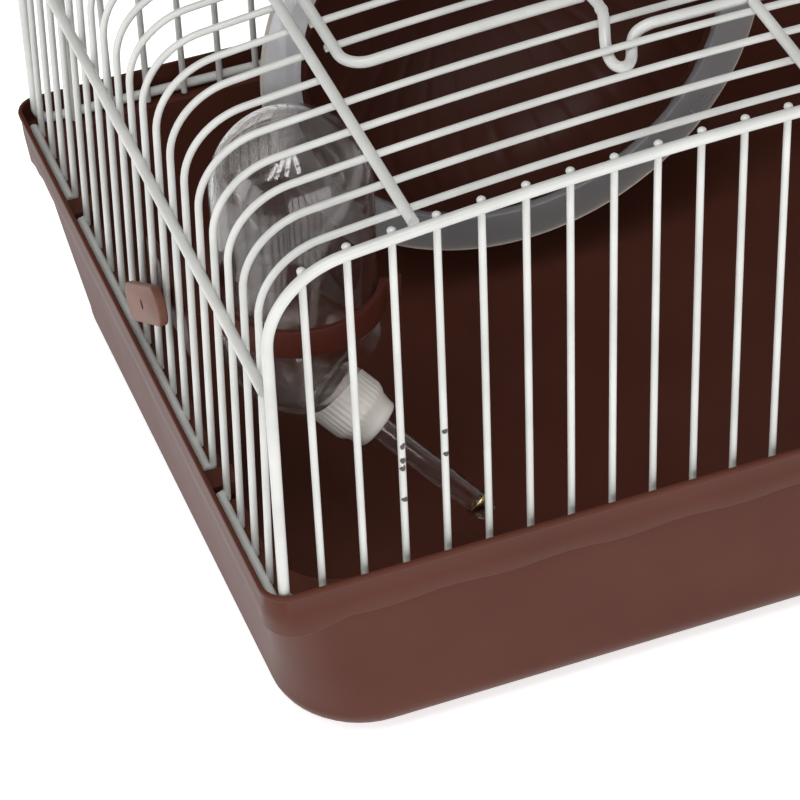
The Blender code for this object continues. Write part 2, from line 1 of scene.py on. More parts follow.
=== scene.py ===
"""Looks of the hamster cage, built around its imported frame.

Helpers take millimetres in the wire frame that the CAD uses: x right, y back, z up from the
bottom wires. place() turns them into metres in the row frame.
"""

import math

import bmesh
import bpy
from mathutils import Matrix, Vector


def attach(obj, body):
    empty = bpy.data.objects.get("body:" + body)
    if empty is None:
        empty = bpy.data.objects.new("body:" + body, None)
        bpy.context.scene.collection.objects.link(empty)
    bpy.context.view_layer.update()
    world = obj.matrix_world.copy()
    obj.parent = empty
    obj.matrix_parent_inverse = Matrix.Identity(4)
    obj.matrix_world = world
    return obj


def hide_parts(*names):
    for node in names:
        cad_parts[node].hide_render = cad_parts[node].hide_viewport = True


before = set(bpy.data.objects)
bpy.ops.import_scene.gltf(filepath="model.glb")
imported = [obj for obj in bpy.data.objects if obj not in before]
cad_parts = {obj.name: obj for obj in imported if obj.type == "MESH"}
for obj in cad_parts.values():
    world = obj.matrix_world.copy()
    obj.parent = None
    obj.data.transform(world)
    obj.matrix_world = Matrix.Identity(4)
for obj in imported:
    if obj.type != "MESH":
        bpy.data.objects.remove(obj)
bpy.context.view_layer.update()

MM = 0.001
CENTRE = (130.0, 97.0, -59.0)
THIN, THICK = 0.85, 1.3
STACK = 1.7
WIDTH = 260.0
FRONT_Y, BACK_Y = -0.85, 192.9
HOOP_X, HOOP_LEAN, HOOP_BEND = 0.25, 0.028, 17.0
HOOP_Y, HOOP_PITCH, HOOP_COUNT = 8.7, 9.97, 19
BORDER_X, BORDER_LEAN, BORDER_BEND, BORDER_LIFT, FOOT_BEND = 0.45, 0.006, 20.0, 1.9, 4.0
ROOF_Z, ROOF_CROWN = 89.4, 8.7
SHOULDER_Z, CROSS_X = 60.5, 35.3
TAB_Y = (44.0, 153.6)
DOOR_X, DOOR_FRONT, DOOR_BACK, DOOR_BEND = 41.0, 57.3, 160.4, 6.0
HOOK_X, PULL_Y = 98.3, 41.4
WHEEL = (116.0, 145.5, 26.5)
BOTTLE, BOTTLE_R = (30.5, 71.0), 19.0
NECK = Vector((35.4, 67.2, -2.9))
NECK_DIR = Vector((0.619, -0.480, -0.622)).normalized()
BOTTLE_WALL, BODY_LOW, BODY_HIGH = 1.2, 12.5, 56.5
KNOB = (-2.9, 83.5, 23.3)
KNOB_TILT, KNOB_ARM, KNOB_END, KNOB_HALF = 35.0, 13.2, 4.8, 1.1
BAND_IN, BAND_OUT, BAND_LOW, BAND_HIGH = 19.3, 20.8, 22.6, 30.4
BAND_START, BAND_SWEEP = 60.0, 275.0
BOWL_OUT, BOWL_IN, BOWL_FRONT, BOWL_BORE = 57.7, 56.1, 7.0, 3.1
BOWL_DEPTH_OUT, BOWL_DEPTH_IN = 34.5, 32.9
RIB_COUNT, RIB_IN = 24, 59.6
TUB_SIDE, TUB_FRONT, TUB_BACK, TUB_FLOOR = 4.6, -3.9, 197.9, -59.0
TUB_BEND_OUT, TUB_BEND_IN, TUB_WALL = 12.0, 9.8, 2.4
WAVE_LENGTH = 29.0
DOOR_BAR_Y, DOOR_BAR_COUNT = 68.5, 9
CAMERA_AT = (-157.52, -542.41, 555.96)
CAMERA_ANGLES = (-19.06, 41.42, -2.64)
LENS = 160.5
WIRE_SIDES = 12


def place(p):
    return Vector([(p[i] - CENTRE[i]) * MM for i in range(3)])


# ---------------------------------------------------------------- materials


def material(name, colour, rough, **inputs):
    """A Principled material with its constants set straight on the sockets."""
    made = bpy.data.materials.new(name)
    made.use_nodes = True
    shader = made.node_tree.nodes["Principled BSDF"]
    shader.inputs["Base Color"].default_value = (*colour, 1.0)
    shader.inputs["Roughness"].default_value = rough
    for key, value in inputs.items():
        shader.inputs[key.replace("_", " ")].default_value = value
    return made


def add(made, kind, **values):
    node = made.node_tree.nodes.new(kind)
    for key, value in values.items():
        node.inputs[key.replace("_", " ")].default_value = value
    return node


def noise(made, scale, detail=4.0, roughness=0.55):
    where = made.node_tree.nodes.new("ShaderNodeTexCoord")
    node = add(made, "ShaderNodeTexNoise", Scale=scale, Detail=detail, Roughness=roughness)
    made.node_tree.links.new(where.outputs["Object"], node.inputs["Vector"])
    return node


def ramp(made, source, stops):
    node = made.node_tree.nodes.new("ShaderNodeValToRGB")
    elements = node.color_ramp.elements
    for element, (at, colour) in zip(elements, stops[:2]):
        element.position = at
        element.color = (*colour, 1.0)
    for at, colour in stops[2:]:
        elements.new(at).color = (*colour, 1.0)
    made.node_tree.links.new(source, node.inputs["Fac"])
    return node.outputs["Color"]


def paint(made, source, socket="Base Color"):
    shader = made.node_tree.nodes["Principled BSDF"]
    made.node_tree.links.new(source, shader.inputs[socket])


def roughen(made, source, low, high):
    node = add(made, "ShaderNodeMapRange", To_Min=low, To_Max=high)
    made.node_tree.links.new(source, node.inputs["Value"])
    paint(made, node.outputs["Result"], "Roughness")


def bump(made, source, strength, distance):
    node = add(made, "ShaderNodeBump", Strength=strength, Distance=distance)
    made.node_tree.links.new(source, node.inputs["Height"])
    paint(made, node.outputs["Normal"], "Normal")


def spots(made, base, centres, radius, colour):
    """Mixes a dark colour into base within ragged spots round points of the row frame."""
    links = made.node_tree.links
    where = made.node_tree.nodes.new("ShaderNodeTexCoord")
    wobble = noise(made, 900.0, 3.0)
    for centre in centres:
        away = made.node_tree.nodes.new("ShaderNodeVectorMath")
        away.operation = "DISTANCE"
        links.new(where.outputs["Object"], away.inputs[0])
        away.inputs[1].default_value = place(centre)
        ragged = made.node_tree.nodes.new("ShaderNodeMath")
        ragged.operation = "MULTIPLY"
        links.new(away.outputs["Value"], ragged.inputs[0])
        links.new(wobble.outputs["Fac"], ragged.inputs[1])
        inside = made.node_tree.nodes.new("ShaderNodeMath")
        inside.operation = "LESS_THAN"
        inside.inputs[1].default_value = radius * 0.5 * MM
        links.new(ragged.outputs["Value"], inside.inputs[0])
        mix = made.node_tree.nodes.new("ShaderNodeMix")
        mix.data_type = "RGBA"
        mix.inputs["B"].default_value = (*colour, 1.0)
        links.new(inside.outputs["Value"], mix.inputs["Factor"])
        links.new(base, mix.inputs["A"])
        base = mix.outputs["Result"]
    return base


def wire_enamel(name, chips=()):
    made = material(name, (0.7, 0.7, 0.68), 0.35, Coat_Weight=0.25, Coat_Roughness=0.15)
    broad = noise(made, 55.0)
    base = ramp(made, broad.outputs["Fac"], [(0.3, (0.46, 0.46, 0.44)), (0.7, (0.57, 0.57, 0.55))])
    if chips:
        base = spots(made, base, chips, 0.75, (0.03, 0.02, 0.015))
    paint(made, base)
    fine = noise(made, 420.0, 3.0)
    roughen(made, broad.outputs["Fac"], 0.28, 0.5)
    bump(made, fine.outputs["Fac"], 0.25, 0.0002)
    return made


def brown_plastic(name, low, high, rough=(0.28, 0.46), grain=0.12):
    made = material(name, low, 0.36, Specular_IOR_Level=0.06)
    broad = noise(made, 28.0, 5.0)
    fine = noise(made, 1500.0, 2.0)
    paint(made, ramp(made, broad.outputs["Fac"], [(0.3, low), (0.72, high)]))
    roughen(made, broad.outputs["Fac"], *rough)
    bump(made, fine.outputs["Fac"], grain, 0.0001)
    return made


def clear_plastic(name, low, high, transmission, rough, grain=0.03, alpha=1.0):
    made = material(name, high, rough[0], Transmission_Weight=transmission, IOR=1.49, Alpha=alpha)
    broad = noise(made, 35.0, 4.0)
    paint(made, ramp(made, broad.outputs["Fac"], [(0.3, low), (0.7, high)]))
    roughen(made, broad.outputs["Fac"], *rough)
    bump(made, broad.outputs["Fac"], grain, 0.0004)
    return made


def metal(name, low, high, rough):
    made = material(name, high, rough[0], Metallic=1.0)
    fine = noise(made, 300.0, 4.0)
    paint(made, ramp(made, fine.outputs["Fac"], [(0.3, low), (0.7, high)]))
    roughen(made, fine.outputs["Fac"], *rough)
    return made


CHIPS = [(30, 0, 36), (30, 0, 32), (30, 0, 29.5), (30, 0, 20.4), (40, 0, 37), (40, 0, 30.4)]
enamel = wire_enamel("enamel")
chipped = wire_enamel("enamel_chipped", CHIPS)
tub_mat = brown_plastic("tub_plastic", (0.068, 0.021, 0.0135), (0.082, 0.027, 0.018), (0.34, 0.5))
clip_mat = brown_plastic("clip_plastic", (0.046, 0.012, 0.008), (0.062, 0.017, 0.011), (0.22, 0.36))
knob_mat = brown_plastic("knob_plastic", (0.105, 0.042, 0.029), (0.175, 0.082, 0.060), (0.3, 0.5))
bowl_mat = brown_plastic("bowl_plastic", (0.034, 0.011, 0.0075), (0.048, 0.016, 0.011), (0.26, 0.4))
smoke = clear_plastic(
    "smoke", (0.62, 0.63, 0.66), (0.78, 0.79, 0.82), 0.72, (0.22, 0.4), alpha=0.66
)
edge_mat = clear_plastic("rim_edge", (0.40, 0.34, 0.28), (0.52, 0.45, 0.37), 0.25, (0.3, 0.45))
clear = clear_plastic("clear", (0.96, 0.93, 0.91), (0.99, 0.97, 0.96), 1.0, (0.0, 0.03), 0.0, 0.8)
milky = clear_plastic("milky", (0.78, 0.73, 0.67), (0.90, 0.85, 0.79), 0.2, (0.3, 0.42))
seal_mat = brown_plastic("seal", (0.45, 0.42, 0.38), (0.55, 0.52, 0.48), (0.5, 0.65))
steel = metal("steel", (0.48, 0.48, 0.49), (0.64, 0.64, 0.65), (0.16, 0.34))
brass = metal("brass", (0.50, 0.35, 0.15), (0.66, 0.48, 0.22), (0.2, 0.35))


# ---------------------------------------------------------------- mesh tools


def piece(name, bm, look, body, nodes=(), bevel=0.0, smooth=35.0):
    """Makes an object from a bmesh, gives it a look, and hangs it on its body."""
    bmesh.ops.recalc_face_normals(bm, faces=bm.faces)
    mesh = bpy.data.meshes.new(name)
    bm.to_mesh(mesh)
    bm.free()
    made = bpy.data.objects.new(name, mesh)
    bpy.context.scene.collection.objects.link(made)
    if bevel:
        rounded = made.modifiers.new("bevel", "BEVEL")
        rounded.width = bevel * MM
        rounded.segments = 3
        rounded.limit_method = "ANGLE"
        apply_modifiers(made)
    mesh = made.data
    mesh.materials.clear()
    mesh.materials.append(look)
    mesh.polygons.foreach_set("use_smooth", [True] * len(mesh.polygons))
    mesh.set_sharp_from_angle(angle=math.radians(smooth))
    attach(made, body)
    if nodes:
        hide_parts(*nodes)
    return made


def apply_modifiers(made):
    graph = bpy.context.evaluated_depsgraph_get()
    result = bpy.data.meshes.new_from_object(made.evaluated_get(graph))
    made.modifiers.clear()
    made.data = result


def skin(bm, rings, closed=False, caps=True):
    loops = [[bm.verts.new(place(p)) for p in ring] for ring in rings]
    count = len(loops[0])
    for i in range(len(loops) if closed else len(loops) - 1):
        here, there = loops[i], loops[(i + 1) % len(loops)]
        for j in range(count):
            k = (j + 1) % count
            bm.faces.new((here[j], here[k], there[k], there[j]))
    if caps and not closed:
        bm.faces.new(loops[0])
        bm.faces.new(loops[-1])


def wire(bm, path, radius, closed=False, sides=WIRE_SIDES):
    """A round wire with square-cut ends along a smooth path."""
    points = [Vector(p) for p in path]
    count = len(points)
    tangents = []
    for i in range(count):
        before = points[i - 1] if closed or i else points[i]
        after = points[(i + 1) % count] if closed or i < count - 1 else points[i]
        tangents.append((after - before).normalized())
    across = tangents[0].orthogonal().normalized()
    rings = []
    for point, tangent in zip(points, tangents):
        across = (across - tangent * across.dot(tangent)).normalized()
        other = tangent.cross(across)
        turns = [2.0 * math.pi * s / sides for s in range(sides)]
        rings.append([point + radius * (math.cos(t) * across + math.sin(t) * other) for t in turns])
    skin(bm, rings, closed)


def weld(bm, centre, size):
    """A small swelling of enamel where two wires cross."""
    made = bmesh.ops.create_icosphere(bm, subdivisions=2, radius=1.0)
    for vert in made["verts"]:
        vert.co = place([centre[i] + vert.co[i] * size[i] for i in range(3)])


def revolve(bm, profile, centre, axis, steps, ripple=None):
    """Revolves a closed (radius, height) profile; ripple(turn, index) scales the radius."""
    axis = Vector(axis).normalized()
    across = axis.orthogonal().normalized()
    other = axis.cross(across)
    rings = []
    for s in range(steps):
        turn = 2.0 * math.pi * s / steps
        radial = math.cos(turn) * across + math.sin(turn) * other
        ring = []
        for i, (r, h) in enumerate(profile):
            scale = ripple(turn, i) if ripple else 1.0
            ring.append(Vector(centre) + radial * r * scale + axis * h)
        rings.append(ring)
    skin(bm, rings, True)
    bmesh.ops.remove_doubles(bm, verts=bm.verts, dist=1e-6)


def block(bm, low, high):
    x0, y0, z0 = low
    x1, y1, z1 = high
    lower = [(x0, y0, z0), (x1, y0, z0), (x1, y1, z0), (x0, y1, z0)]
    skin(bm, [lower, [(x, y, z1) for x, y, _ in lower]])


def arc(centre, radius, start, end, count):
    turns = [math.radians(start + (end - start) * i / count) for i in range(count + 1)]
    return [(centre[0] + radius * math.cos(t), centre[1] + radius * math.sin(t)) for t in turns]


def rounded_path(points, radius, steps=6):
    """Replaces each inner corner of a polyline with a quadratic bend."""
    points = [Vector(p) for p in points]
    made = [points[0]]
    for before, corner, after in zip(points, points[1:], points[2:]):
        a = corner + (before - corner).normalized() * min(radius, (before - corner).length / 2)
        b = corner + (after - corner).normalized() * min(radius, (after - corner).length / 2)
        for i in range(steps + 1):
            t = i / steps
            made.append(a * (1 - t) ** 2 + corner * 2 * t * (1 - t) + b * t * t)
    return made + [points[-1]]


# ---------------------------------------------------------------- wire top


def roof_z(x):
    t = (x - WIDTH / 2) / (WIDTH / 2)
    return ROOF_Z + ROOF_CROWN * (1.0 - t * t)


def roof_slope(x):
    half = WIDTH / 2
    return -2.0 * ROOF_CROWN * (x - half) / half ** 2


def shoulder_arc(foot_x, lean, radius, lift):
    low, high = foot_x, foot_x + 4.0 * radius
    for _ in range(40):
        x = (low + high) / 2
        norm = math.hypot(1.0, roof_slope(x))
        cx = x + radius * roof_slope(x) / norm
        cz = roof_z(x) + lift - radius / norm
        if (cx - (foot_x + lean * cz)) / math.hypot(1.0, lean) < radius:
            low = x
        else:
            high = x
    first = 180.0 - math.degrees(math.atan(lean))
    return (cx, cz), first, 90.0 + math.degrees(math.atan(roof_slope(x)))


def hoop_x(z):
    return HOOP_X + HOOP_LEAN * z


def hoop_y(i):
    return HOOP_Y + HOOP_PITCH * i


def mirrored(points):
    return [(WIDTH - p[0],) + tuple(p[1:]) for p in reversed(points)]


def crown(start, end, y, count, lift=0.0):
    xs = [start + (end - start) * i / count for i in range(count + 1)]
    return [(x, y, roof_z(x) + lift) for x in xs]


def panel(name, y, inward, look, node):
    """An end panel: a closed border wire and its upright bars, which stand inward of it."""
    centre, first, last = shoulder_arc(BORDER_X, BORDER_LEAN, BORDER_BEND, BORDER_LIFT)
    side = arc((BORDER_X + FOOT_BEND, FOOT_BEND), FOOT_BEND, 270, 180, 8)
    side += arc(centre, BORDER_BEND, first, last, 18)
    side = [(x, y, z) for x, z in side]
    start = side[-1][0]
    left = side + crown(start, WIDTH / 2, y, 18, BORDER_LIFT)[1:-1]
    top = (WIDTH / 2, y, roof_z(WIDTH / 2) + BORDER_LIFT)
    bm = bmesh.new()
    wire(bm, left + [top] + mirrored(left), THICK, True)
    for i in range(1, 26):
        x = 10.0 * i
        near = min(x, WIDTH - x)
        high = roof_z(near) + BORDER_LIFT
        if near < centre[0] + BORDER_BEND * math.cos(math.radians(last)):
            high = centre[1] + math.sqrt(BORDER_BEND ** 2 - (centre[0] - near) ** 2)
        bar_y = y + inward * STACK
        wire(bm, [(x, bar_y, -1.3), (x, bar_y, high + 1.0)], THIN)
        for z in (0.0, high):
            weld(bm, (x, y + inward * 0.95, z), (1.15, 0.75, 1.0))
        weld(bm, (x, bar_y, high + 0.7), (1.05, 1.0, 0.9))
    return piece(name, bm, look, "top", [node])


def hoop_outline(y):
    centre, first, last = shoulder_arc(HOOP_X, HOOP_LEAN, HOOP_BEND, 0.0)
    bend = [(x, y, z) for x, z in arc(centre, HOOP_BEND, first, last, 14)]
    return [(hoop_x(-1.7), y, -1.7)] + bend


def wrap():
    """Every hoop in one continuous run; those under the door stop past the lengthwise wires."""
    bm = bmesh.new()
    for i in range(HOOP_COUNT):
        y = hoop_y(i)
        left = hoop_outline(y)
        if 5 <= i <= 15:
            short = left + [(x, yy, z) for x, yy, z in crown(left[-1][0], 36.9, y, 4)[1:]]
            wire(bm, short, THIN)
            wire(bm, mirrored(short), THIN)
        else:
            right = mirrored(left)
            wire(bm, left + crown(left[-1][0], right[0][0], y, 28)[1:-1] + right, THIN)
        for right_side in (False, True):
            marks = [
                ((hoop_x(0.0) - 0.9, y, 0.0), (0.75, 1.1, 1.0)),
                ((hoop_x(SHOULDER_Z) - 0.9, y, SHOULDER_Z), (0.75, 1.1, 1.0)),
                ((CROSS_X, y, roof_z(CROSS_X) + 0.9), (1.1, 1.0, 0.75)),
            ]
            for centre, size in marks:
                x = WIDTH - centre[0] if right_side else centre[0]
                weld(bm, (x, centre[1], centre[2]), size)
    nodes = ["roof_edge_hoop", "roof_front_grid", "roof_back_grid"]
    nodes += [s + "_shoulder_grid" for s in ("left", "right")]
    nodes += [s + "_wall_grid" for s in ("left", "right")]
    piece("wrap_hoops", bm, enamel, "top", nodes)
    bm = bmesh.new()
    first = TAB_Y[0] - 3.4
    second = TAB_Y[1] - 3.4
    spans = [(2.0, first - 2.2), (TAB_Y[0] + 3.4, second - 2.2), (TAB_Y[1] + 3.4, 190.0)]
    for side in (False, True):
        runs = [((hoop_x(0.0) - STACK), a, b, 0.0) for a, b in spans]
        runs.append((hoop_x(SHOULDER_Z) - STACK, 2.0, 190.0, SHOULDER_Z))
        runs.append((CROSS_X, 2.0, 190.0, roof_z(CROSS_X) + STACK))
        for x, a, b, z in runs:
            x = WIDTH - x if side else x
            wire(bm, [(x, a + (b - a) * i / 12, z) for i in range(13)], THICK)
    high = roof_z(WIDTH / 2) + STACK
    wire(bm, [(WIDTH / 2, 2.0, high), (WIDTH / 2, 39.6, high)], THICK)
    wire(bm, [(WIDTH / 2, hoop_y(16) - 1.4, high), (WIDTH / 2, 190.0, high)], THICK)
    piece("lengthwise_wires", bm, enamel, "top")


def roof_door():
    """The door's frame and bars, and its sprung wire with two hooks over the fourth hoop."""
    front = arc((DOOR_X + DOOR_BEND, DOOR_FRONT + DOOR_BEND), DOOR_BEND, 270, 180, 10)
    rear = arc((DOOR_X + DOOR_BEND, DOOR_BACK - DOOR_BEND), DOOR_BEND, 180, 90, 10)
    lead = [(HOOK_X - 1.6 - (HOOK_X - 53.6) * i / 8, DOOR_FRONT) for i in range(8)]
    back = [(DOOR_X + DOOR_BEND + (89.0 - DOOR_BEND) * i / 14, DOOR_BACK) for i in range(1, 14)]
    plan = lead + front + rear + back
    left = [(x, y, roof_z(x) + STACK) for x, y in plan]
    bm = bmesh.new()
    wire(bm, left + [(WIDTH / 2, DOOR_BACK, roof_z(WIDTH / 2) + STACK)] + mirrored(left), THICK)
    for i in range(DOOR_BAR_COUNT):
        y = DOOR_BAR_Y + HOOP_PITCH * i
        wire(bm, crown(DOOR_X - 1.2, WIDTH - DOOR_X + 1.2, y, 26), THIN)
        for x in (DOOR_X, WIDTH - DOOR_X):
            weld(bm, (x, y, roof_z(x) + 0.9), (1.1, 1.0, 0.75))
    piece("roof_door_wires", bm, enamel, "door", ["roof_door"])
    b = hoop_y(3)
    plan = [
        (HOOK_X, DOOR_FRONT + 0.4, 1.70),
        (HOOK_X + 0.2, 52.5, 2.10),
        (HOOK_X - 0.4, 48.6, 2.70),
        (HOOK_X - 1.6, 45.0, 1.90),
        (HOOK_X - 2.8, 41.8, -0.60),
        (HOOK_X - 3.2, b, -2.75),
        (HOOK_X - 2.4, b - 2.9, -3.10),
        (HOOK_X - 0.2, b - 3.4, -3.10),
        (HOOK_X + 1.6, b - 1.4, -2.95),
        (HOOK_X + 2.8, b + 1.8, -1.60),
        (HOOK_X + 4.2, b + 3.1, 0.40),
        (HOOK_X + 7.4, PULL_Y + 0.2, 1.70),
        (HOOK_X + 18.0, PULL_Y, 1.70),
    ]
    left = rounded_path([(x, y, roof_z(x) + rise) for x, y, rise in plan], 2.0, 4)
    left = [tuple(p) for p in left]
    middle = (WIDTH / 2, PULL_Y, roof_z(WIDTH / 2) + STACK)
    bm = bmesh.new()
    wire(bm, left + [middle] + mirrored(left), THICK)
    for x in (HOOK_X - 0.2, WIDTH - HOOK_X + 0.2):
        weld(bm, (x, 50.0, roof_z(x) + 2.4), (1.5, 2.1, 1.35))
    piece("latch_bow", bm, enamel, "door", ["door_latch_bow"])


# ---------------------------------------------------------------- tub


def plan_ring(inset, z, corner, drop=0.0):
    """A rounded rectangle with its straight sides divided, dipping in waves by drop."""
    lows = (-TUB_SIDE + inset, TUB_FRONT + inset)
    highs = (WIDTH + TUB_SIDE - inset, TUB_BACK - inset)
    corners = [
        ((highs[0] - corner, lows[1] + corner), 270),
        ((highs[0] - corner, highs[1] - corner), 0),
        ((lows[0] + corner, highs[1] - corner), 90),
        ((lows[0] + corner, lows[1] + corner), 180),
    ]
    plan = []
    for index, (centre, start) in enumerate(corners):
        bend = arc(centre, corner, start, start + 90, 12)
        following, angle = corners[(index + 1) % 4]
        here, there = bend[-1], arc(following, corner, angle, angle, 1)[0]
        plan += bend
        for i in range(1, 48):
            t = i / 48
            plan.append((here[0] * (1 - t) + there[0] * t, here[1] * (1 - t) + there[1] * t))
    points = []
    for x, y in plan:
        to_corner = math.hypot(min(x - lows[0], highs[0] - x), min(y - lows[1], highs[1] - y))
        dip = 0.5 * math.sin(2 * math.pi * (x + y) / WAVE_LENGTH) - 0.5
        if to_corner < 17.0:
            dip = -1.6
        if to_corner < 10.0:
            dip = -2.8
        points.append((x, y, z + drop * dip))
    return points


def tub():
    """The tub as one skin of rings: up the outside, over the rim and ledge, and down the inside."""
    rings = []
    for i in range(10):
        turn = math.radians(90.0 * i / 9)
        inset = 8.0 + TUB_BEND_OUT * (1.0 - math.sin(turn))
        z = TUB_FLOOR + TUB_BEND_OUT * (1.0 - math.cos(turn))
        rings.append(plan_ring(inset, z, 26.0 - 0.5 * inset))
    for inset, z, corner, drop in (
        (5.6, -28.0, 12.5, 0.0),
        (3.2, -11.0, 10.0, 0.0),
        (2.9, -7.4, 9.8, 1.0),
        (1.5, -7.2, 8.2, 1.0),
        (1.15, -6.6, 8.0, 1.0),
        (0.6, -2.0, 6.8, 0.0),
        (0.5, 2.6, 6.3, 0.0),
        (0.1, 3.2, 6.4, 0.0),
        (0.0, 3.8, 6.5, 0.0),
        (0.15, 4.3, 6.4, 0.0),
        (0.5, 4.5, 6.1, 0.0),
        (0.95, 4.5, 5.6, 0.0),
        (1.15, 4.3, 5.4, 0.0),
        (1.3, -2.0, 5.2, 0.0),
        (1.7, -2.4, 5.4, 0.0),
        (7.4, -2.4, 17.0, 0.0),
        (7.9, -2.7, 17.0, 0.0),
        (8.2, -5.0, 17.0, 0.0),
    ):
        rings.append(plan_ring(inset, z, corner, drop))
    for i in range(8):
        turn = math.radians(90.0 - 90.0 * i / 7)
        inset = 10.2 + TUB_BEND_IN * (1.0 - math.sin(turn))
        z = TUB_FLOOR + TUB_WALL + TUB_BEND_IN * (1.0 - math.cos(turn))
        rings.append(plan_ring(inset, z, 24.0 - 0.5 * inset))
    bm = bmesh.new()
    skin(bm, rings)
    made = piece("tub_shell", bm, tub_mat, "tub", ["base_tub"])
    cutters = bmesh.new()
    for y in TAB_Y:
        block(cutters, (-2.6, y - 5.3, -5.4), (2.4, y - 3.3, -1.0))
        block(cutters, (WIDTH - 2.4, y - 5.3, -5.4), (WIDTH + 2.6, y - 3.3, -1.0))
    block(cutters, (122.0, -2.0, -5.4), (138.0, 1.4, -1.0))
    block(cutters, (122.0, 191.6, -5.4), (138.0, 194.8, -1.0))
    cut(made, cutters)
    bm = bmesh.new()
    for y in TAB_Y:
        block(bm, (-3.2, y - 3.1, -2.4), (4.2, y + 3.1, 0.9))
        block(bm, (WIDTH - 4.2, y - 3.1, -2.4), (WIDTH + 3.2, y + 3.1, 0.9))
    piece("tub_tabs", bm, tub_mat, "tub", bevel=0.5)


def cut(made, bm):
    """Takes a bmesh's volume out of an object, for good."""
    bmesh.ops.recalc_face_normals(bm, faces=bm.faces)
    mesh = bpy.data.meshes.new("cut")
    bm.to_mesh(mesh)
    bm.free()
    tool = bpy.data.objects.new("cut", mesh)
    bpy.context.scene.collection.objects.link(tool)
    modifier = made.modifiers.new("cut", "BOOLEAN")
    modifier.operation = "DIFFERENCE"
    modifier.solver = "EXACT"
    modifier.object = tool
    bpy.context.view_layer.update()
    apply_modifiers(made)
    made.data.set_sharp_from_angle(angle=math.radians(35.0))
    bpy.data.objects.remove(tool)


# ---------------------------------------------------------------- wheel


def bowl_side(radius, depth):
    """A quarter ellipse from the bowl's mouth towards its hub, as (radius, height) points."""
    turns = [math.pi / 2 * i / 20 for i in range(20)]
    side = [(radius * math.cos(t), BOWL_FRONT + depth * math.sin(t)) for t in turns]
    return [p for p in side if p[0] > 6.0]


def wheel():
    """The grooved bowl, its clear rim with ribs, and the two tinted edges of the rim."""
    axis = (0.0, 1.0, 0.0)
    profile = [(BOWL_OUT, 2.0)] + bowl_side(BOWL_OUT, BOWL_DEPTH_OUT)
    profile += [(BOWL_BORE, 41.5), (BOWL_BORE, 39.9)]
    profile += bowl_side(BOWL_IN, BOWL_DEPTH_IN)[::-1] + [(BOWL_IN, 2.0)]

    def groove(turn, _):
        return 1.0 - 0.010 * max(0.0, math.cos(30.0 * turn)) ** 3

    bm = bmesh.new()
    revolve(bm, profile, WHEEL, axis, 360, groove)
    piece("wheel_bowl_shell", bm, bowl_mat, "wheel", ["wheel_bowl"], smooth=50)
    rim = [(58.0, 0.3), (58.3, 0.0), (68.1, 0.0), (68.5, 0.4), (68.5, 1.1), (68.1, 1.5)]
    rim += [(59.9, 1.5), (59.5, 1.9), (59.5, 11.1), (59.1, 11.5), (58.4, 11.5), (58.0, 11.1)]
    bm = bmesh.new()
    revolve(bm, rim, WHEEL, axis, 160)
    piece("wheel_rim_shell", bm, smoke, "wheel", ["wheel_rim"])
    bm = bmesh.new()
    for i in range(RIB_COUNT):
        turn = 2.0 * math.pi * (i + 0.5) / RIB_COUNT
        out = Vector((math.cos(turn), 0.0, math.sin(turn)))
        side = Vector((-math.sin(turn), 0.0, math.cos(turn))) * 0.5
        ends = []
        for height, outside in ((1.6, 61.6), (10.6, 60.0)):
            corners = ((RIB_IN, -1), (RIB_IN, 1), (outside, 1), (outside, -1))
            raised = Vector((0, height, 0))
            ends.append([Vector(WHEEL) + out * r + side * s + raised for r, s in corners])
        skin(bm, ends)
    piece("wheel_rim_ribs", bm, smoke, "wheel", bevel=0.15)
    bm = bmesh.new()
    eighths = [math.pi * i / 4 for i in range(8)]
    for radius, height, wide, deep in ((59.62, 11.2, 0.35, 0.35), (68.2, 0.75, 0.3, 0.9)):
        lip = [(radius + wide * math.cos(t), height + deep * math.sin(t)) for t in eighths]
        revolve(bm, lip, WHEEL, axis, 160)
    piece("wheel_rim_edges", bm, edge_mat, "wheel")


# ---------------------------------------------------------------- bottle and clip


def capsule_profile(radius):
    """The bottle's side, between two half spheres that are left open by a hair at the poles."""
    turns = [math.pi / 2 * i / 14 for i in range(15)]
    low = [(max(0.02, radius * math.sin(t)), BODY_LOW - radius * math.cos(t)) for t in turns]
    high = [(max(0.02, radius * math.cos(t)), BODY_HIGH + radius * math.sin(t)) for t in turns]
    return low + high


